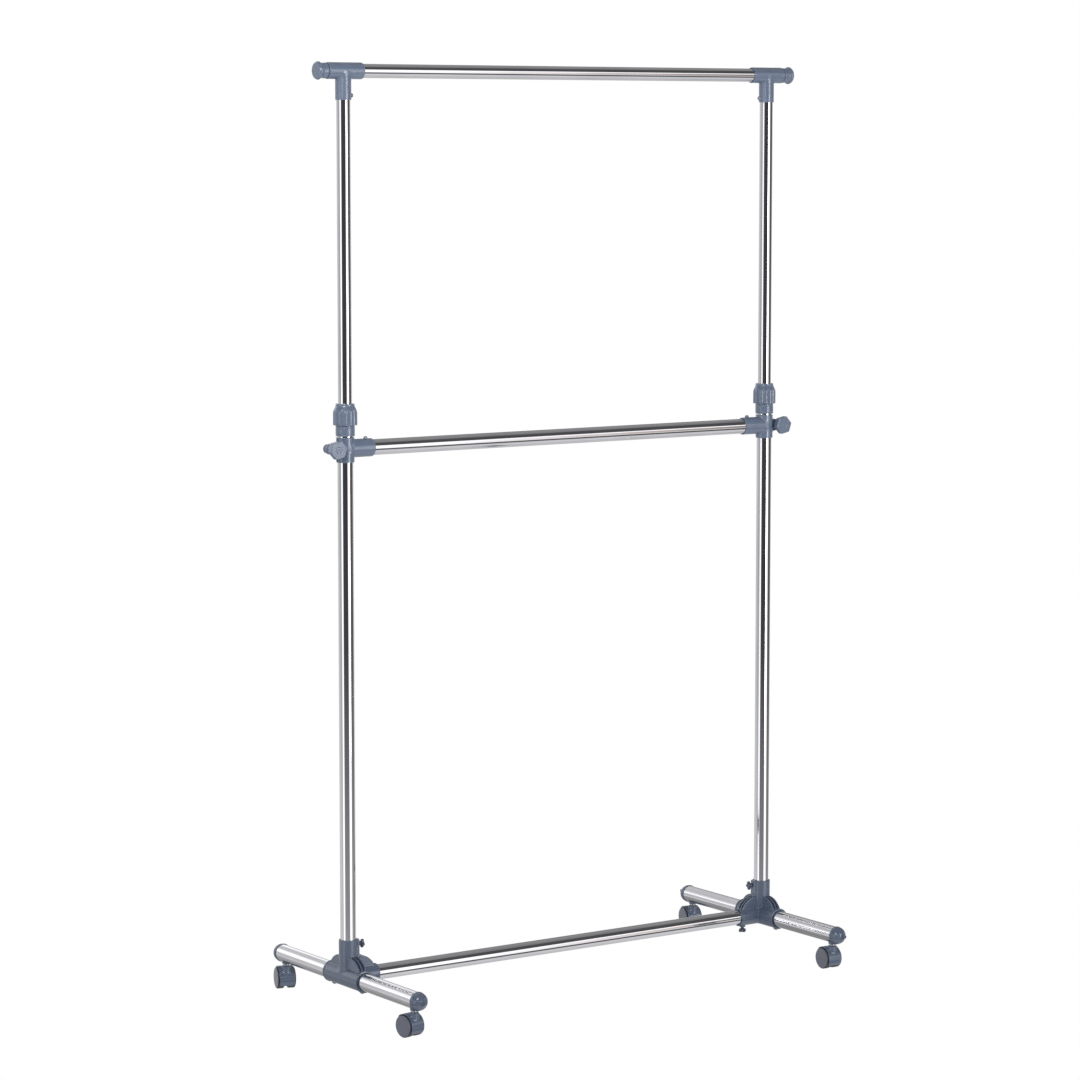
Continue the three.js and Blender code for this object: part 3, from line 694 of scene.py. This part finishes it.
def lock_collar():
    """The ring that the nut screws onto, with two shallow grooves, and its threaded spigot."""
    bore, guide = POST_RADIUS + FIT, UPPER_RADIUS + FIT
    profile = [(bore, 921.6), (COLLAR_RADIUS, 921.6)]
    for bottom in (923.6, 934.0):
        profile += [(COLLAR_RADIUS, bottom), (GROOVE_RADIUS, bottom + 0.4),
                    (GROOVE_RADIUS, bottom + 1.0), (COLLAR_RADIUS, bottom + 1.4)]
    profile += [(COLLAR_RADIUS, 937.4), (THREAD_CREST, 937.4)]
    for i in range(9):
        profile += [(THREAD_CREST, 939 + 2 * i), (THREAD_ROOT, 940 + 2 * i)]
    profile += [(THREAD_ROOT, 957), (guide, 957), (guide, 948.3), (bore, 948.3)]
    return lathe(softened(profile, 0.25, 2, closed=True), 64, closed=True)


# ---- top ----
TEE_RADIUS, TEE_OUTER_REACH, TEE_INNER_REACH = 13.0, 30.5, 33.0
TEE_SOCKET, TEE_DROP = 12.6, 45.0
TEE_SCREW_DROP, TEE_SCREW_SEAT = 38.0, 13.8
TEE_SCREW_ANGLE = math.radians(12)


def top_tee(p):
    """The tee of the left post and the top bar, the bar going on towards +X."""
    arm = cylinder(p, X, TEE_RADIUS, -TEE_OUTER_REACH, TEE_INNER_REACH, 1.4)
    solid = join(arm, cylinder(p, Z, TEE_SOCKET, -TEE_DROP, 0, 0.9), 1.8)
    q = moved(turned(p, -TEE_SCREW_ANGLE), 0, 0, -TEE_SCREW_DROP)
    solid = join(solid, cylinder(q, X, 3.4, 8, TEE_SCREW_SEAT, 0.4), 0.8)
    solid = cut(solid, cylinder(p, X, UPPER_RADIUS + FIT, -TEE_OUTER_REACH - 3, TEE_INNER_REACH + 3), 0.5)
    solid = cut(solid, cylinder(p, Z, UPPER_RADIUS + FIT, -TEE_DROP - 3, -5), 0.5)
    return cut(solid, cylinder(q, X, 1.8, 5, 20, 0.1), 0.2)


def end_knob():
    """A pull knob along +Z from the end of the bar: neck, flared disc and a slightly domed face."""
    low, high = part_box("end_knob_left")
    flare = (high - low).z / 2 / MM
    face = (high - low).x / MM + 0.4
    profile = [(0, 0.4), (10.7, 0.4), (10.7, 3.6), (12.2, 3.6), (12.2, 8.5), (11.5, 11.8), (12.4, 14.6),
               (flare, 16.6), (flare, 18.6), (flare - 1.8, face - 0.6), (0, face)]
    return lathe(softened(profile, 1.0, 4), 72)


# ---- mid rail ----
CLAMP_RADIUS, CLAMP_ABOVE, CLAMP_BELOW, CLAMP_REACH = 14.4, 17.8, 21.5, 48.5
EAR_REACH, EAR_RADIUS, EAR_HALF, EAR_ROOT = 25.0, 8.5, 8.0, 13.0
BOLT_HOLE = 3.3
KNOB_RADIUS, KNOB_TURN = 15.6, 12 + 30
ARM_SCREW_REACH, ARM_SCREW_SEAT = 36.0, 15.8
ARM_SCREW_TILT = math.radians(6)


def mid_clamp(p):
    """The split clamp on a post, with the bar towards +X and its ears towards -X."""
    sleeve = cylinder(p, Z, CLAMP_RADIUS, -CLAMP_BELOW, CLAMP_ABOVE, 0.9)
    arm = cylinder(p, X, CLAMP_RADIUS, 0, CLAMP_REACH, 2.2)
    solid = join(sleeve, arm, 2.5)
    share = np.clip(-p[X] / EAR_REACH, 0, 1)
    ears = np.hypot(p[X] + share * EAR_REACH, p[Z]) - (EAR_ROOT - (EAR_ROOT - EAR_RADIUS) * share)
    solid = join(solid, both(ears, between(p[Y], -EAR_HALF, EAR_HALF), 1.2), 2.5)
    q = turned(moved(p, ARM_SCREW_REACH), ARM_SCREW_TILT, X)
    solid = join(solid, cylinder(q, Z, 3.2, 8, ARM_SCREW_SEAT, 0.5), 1.0)
    solid = cut(solid, cylinder(p, Z, POST_RADIUS + FIT, -CLAMP_BELOW - 3, CLAMP_ABOVE + 3), 0.6)
    solid = cut(solid, cylinder(p, X, POST_RADIUS + FIT, 14, CLAMP_REACH + 3), 0.6)
    solid = cut(solid, block(p, (-40, -1, -30), (-5, 1, 30), 0.1), 0.5)
    return cut(solid, cylinder(moved(p, -EAR_REACH), Y, BOLT_HOLE, -20, 20, 0.1), 0.4)


def clamp_bolt():
    """The bolt along +Z, from its tip in the knob to the round head behind the ears."""
    back = EAR_HALF + 0.3
    profile = [(0, -20), (2.9, -20), (2.9, back), (4.5, back), (4.5, back + 4.0), (7.2, back + 4.4),
               (7.2, back + 6.2), (5.2, back + 7.3), (0, back + 7.4)]
    return lathe(softened(profile, 0.8, 4), 48)


def clamp_knob(p):
    """A hexagonal knob in front of the ears, with a ringed dimple in its face."""
    head = None
    for i in range(6):
        angle = math.radians(KNOB_TURN + 60 * i)
        side = p[X] * math.cos(angle) + p[Z] * math.sin(angle) - KNOB_RADIUS * math.cos(math.pi / 6)
        head = side if head is None else -join(-head, -side, 1.2)
    head = both(head, between(p[Y], -24, -14), 1.3)
    solid = join(head, cylinder(p, Y, 7.5, -15, -EAR_HALF - 0.4, 0.5), 2.0)
    ring = np.hypot(np.hypot(p[X], p[Z]) - 5.0, p[Y] + 24.1) - 0.5
    solid = cut(solid, ring, 0.3)
    solid = cut(solid, cylinder(p, Y, 1.8, -26, -23.5, 0.2), 0.3)
    return cut(solid, cylinder(p, Y, BOLT_HOLE, -20.4, -5, 0.2), 0.2)


# ---- the assembly ----
def half_turn(sign):
    """Half a turn for 1 and none for -1, since both sides or both ends use the same moulding."""
    return Matrix.Rotation(math.pi if sign > 0 else 0, 4, "Z")


def moulding(node, shape, place, body, look, turn=None):
    """A piece of grey plastic."""
    piece(node, shape, place, body, look, turn)


def upright_tube(node, radius, x, body, look):
    """A polished tube along Z, from end to end of its CAD node."""
    low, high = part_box(node)
    tube = pipe(radius, low.z / MM, high.z / MM)
    piece(node, tube, Vector((x, 0, 0)), body, look)


def level_tube(node, radius, height, body, look):
    """A polished tube along X, from end to end of its CAD node."""
    low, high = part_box(node)
    tube = pipe(radius, low.x / MM, high.x / MM)
    piece(node, tube, Vector((0, 0, height)), body, look, facing((1, 0, 0)))


def small_screw(node, seat, direction, body, look, replaces=True):
    """A small screw at its seat, its head towards a direction."""
    piece(node, SMALL_SCREW, seat, body, look, facing(direction), replaces=replaces)


def repaint(node, look):
    """Gives a CAD piece that is shown as it is its look."""
    materials = frame["nodes"][node].data.materials
    materials.clear()
    materials.append(look)


def dress_base(looks):
    """Foot tubes, brackets, lower posts, crossbar and their screws."""
    bracket = net(base_bracket, (-18, -51.5, -18.5), (51.5, 51.5, 60.5), 0.75)
    lobes = net(thumb_screw, (-8, -8, 12), (8, 8, 26.5), 0.4)
    for name, side in SIDES.items():
        corner = Vector((side * POST_X, 0, BASE_Z))
        piece(f"foot_tube_{name}", foot_tube(), corner, "base", looks["foot_steel"],
              facing((0, 1, 0)))
        moulding(f"base_bracket_{name}", bracket, corner, "base", looks["shaded_base_plastic"], half_turn(side))
        upright_tube(f"lower_post_{name}", POST_RADIUS, corner.x, "base", looks["post_steel"])
        starts = {
            "post_screw": Vector((corner.x, 0, BASE_Z + POST_SCREW_HEIGHT * MM)),
            "crossbar_screw": Vector((corner.x - side * CROSSBAR_SCREW_REACH * MM, 0, BASE_Z)),
        }
        for which, start in starts.items():
            axis = joint(f"{which}_{name}_turn")["axis"]
            moulding(f"{which}_{name}", lobes, start, f"{which}_{name}_body", looks["dark_plastic"],
                     facing(axis))
        for place, end in (("front", -1), ("rear", 1)):
            seat = corner + Vector((0, end * SET_SCREW_Y, -18.2)) * MM
            small_screw(f"set_screw_{name}_{place}", seat, (0, 0, -1), "base", looks["screw"],
                        replaces=False)
    level_tube("bottom_crossbar", POST_RADIUS, BASE_Z, "base", looks["bar_steel"])


def dress_posts(looks):
    """Lock collars, twist nuts, their collets and the upper posts."""
    nut = net(twist_nut, (-19.5, -19.5, 938.5), (19.5, 19.5, 972.5), 0.5)
    for name, side in SIDES.items():
        post = Vector((side * POST_X, 0, 0))
        moulding(f"lock_collar_{name}", lock_collar(), post, "base", looks["light_plastic"])
        moulding(f"twist_nut_{name}", nut, post, f"twist_nut_{name}_body", looks["light_plastic"])
        upright_tube(f"upper_post_{name}", UPPER_RADIUS, post.x, "upper_frame", looks["post_steel"])
        repaint(f"grip_collet_{name}", looks["light_plastic"])


def dress_top(looks):
    """Tees and their screws, extension rods, end knobs and the top bar."""
    tee = net(top_tee, (-31, -13.5, -45.5), (33.5, 13.5, 13.5), 0.6)
    for name, side in SIDES.items():
        head = Vector((side * POST_X, 0, TOP_Z))
        moulding(f"top_tee_{name}", tee, head, "upper_frame", looks["light_plastic"], half_turn(side))
        direction = Vector((-side * math.cos(TEE_SCREW_ANGLE), side * math.sin(TEE_SCREW_ANGLE), 0))
        seat = head + direction * (TEE_SCREW_SEAT * MM) - Vector((0, 0, TEE_SCREW_DROP * MM))
        small_screw(f"tee_screw_{name}", seat, direction, "upper_frame", looks["screw"])
        rod = f"extension_rod_{name}"
        level_tube(rod, round_radius(rod, Z), TOP_Z, f"extension_{name}", looks["bar_steel"])
        bar_end = Vector((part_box("top_bar")[0 if side < 0 else 1].x, 0, TOP_Z))
        moulding(f"end_knob_{name}", end_knob(), bar_end, f"extension_{name}", looks["light_plastic"],
                 facing((side, 0, 0)))
    level_tube("top_bar", UPPER_RADIUS, TOP_Z, "upper_frame", looks["bar_steel"])


def dress_mid_rail(looks):
    """Mid clamps with their bolts, knobs and screws, and the mid bar."""
    clamp = net(mid_clamp, (-34, -15, -22), (49, 15, 19), 0.6)
    knob = net(clamp_knob, (-16, -24.2, -16), (16, -8, 16), 0.5)
    for name, side in SIDES.items():
        crossing = Vector((side * POST_X, 0, MID_Z))
        moulding(f"mid_clamp_{name}", clamp, crossing, "mid_rail", looks["light_plastic"],
                 half_turn(side))
        bolt = Vector((middle(f"clamp_bolt_{name}").x, 0, MID_Z))
        moulding(f"clamp_bolt_{name}", clamp_bolt(), bolt, "mid_rail", looks["light_plastic"],
                 facing((0, 1, 0)))
        moulding(f"clamp_knob_{name}", knob, bolt, f"clamp_knob_{name}_body", looks["light_plastic"])
        tilt = Vector((0, side * math.sin(ARM_SCREW_TILT), math.cos(ARM_SCREW_TILT)))
        seat = crossing + Vector((-side * ARM_SCREW_REACH * MM, 0, 0)) + tilt * (ARM_SCREW_SEAT * MM)
        small_screw(f"arm_screw_{name}", seat, tilt, "mid_rail", looks["screw"], replaces=False)
    level_tube("mid_bar", POST_RADIUS, MID_Z, "mid_rail", looks["bar_steel"])


def dress_casters(looks):
    """End caps, and each caster's stem, hood, wheels and axle."""
    cap = net(end_cap, (-15.5, -27.8, -16.5), (15.5, 20.5, 15.5), 0.5)
    hood = net(caster_hood, (-13.5, -11, 4), (13.5, 31, 40), 0.5)
    for corner, (side, end) in CORNERS.items():
        tube_end = Vector((side * POST_X, end * FOOT_HALF, BASE_Z))
        moulding(f"end_cap_{corner}", cap, tube_end, "base", looks["shaded_base_plastic"], half_turn(end))
        swivel = joint(f"caster_{corner}_swivel")
        stem = Vector((swivel["pos_m"][X], swivel["pos_m"][Y], 0))
        axle = Vector(joint(f"wheel_right_{corner}_roll")["axis"])
        turn = Matrix.Rotation(math.atan2(axle.y, axle.x), 4, "Z")
        centre = stem + turn @ Vector((0, TRAIL, AXLE_HEIGHT)) * MM
        body = f"caster_{corner}"
        piece(f"caster_stem_{corner}", caster_stem(), stem, body, looks["screw"])
        moulding(f"caster_hood_{corner}", hood, stem, body, looks["shaded_base_plastic"], turn)
        for which, way in (("right", 1), ("left", -1)):
            wheel = piece(f"wheel_{which}_{corner}", caster_wheel(), centre,
                          f"wheel_{which}_{corner}_body", looks["wheel"],
                          turn @ facing((way, 0, 0)))
            colour_tread_and_gap_shade(wheel, centre, axle, looks["tread"])
        repaint(f"caster_axle_{corner}", looks["screw"])


make_camera()
make_world()
make_floor()
soft_light("key_light", (-1.9, -1.5, 2.0), (-0.3, 0, 0.9), 0.7, 0.7, 26, True)
soft_light("fill_light", (1.8, -1.6, 1.4), (0, 0, 0.8), 1.2, 1.2, 3, False)
soft_light("strip_light", (0.94, -3.37, 0.9), (0, 0, 0.9), 0.6, 2.2, 34, True)
bpy.context.scene.view_settings.view_transform = "Standard"

STEEL = (0.66, 0.66, 0.69)
# The slate of the base brackets, end caps and caster hoods is a darker copy of the upper mouldings'
# plastic: painted shade for the parts near the floor.
SHADED_SLATE = (0.088, 0.115, 0.172)
looks = {
    "post_steel": steel("polished_steel_upright", Z, STEEL, 0.05, 0.03),
    "bar_steel": steel("polished_steel_level", X, STEEL, 0.055, 0.03),
    "foot_steel": steel("satin_steel_foot", Y, STEEL, 0.12, 0.06),
    "light_plastic": plastic("slate_plastic", (0.13, 0.165, 0.238), 0.22, 0.25, 0.06),
    "shaded_base_plastic": plastic("slate_plastic_base_shaded", SHADED_SLATE, 0.24, 0.12, 0.06),
    "dark_plastic": plastic("screw_plastic", (0.045, 0.055, 0.09), 0.4, 0.4, 0.2),
    "wheel": plastic("wheel_plastic", (0.105, 0.115, 0.155), 0.34, 0.15, 0.2),
    # Near-black tread: dark rubber, and painted shade for the gap under the hood.
    "tread": plastic("tread_rubber_and_gap_shade", (0.012, 0.012, 0.016), 0.5, 0.1, 0.2),
    "screw": screw_metal("zinc_screw"),
}
dress_base(looks)
dress_posts(looks)
dress_top(looks)
dress_mid_rail(looks)
dress_casters(looks)
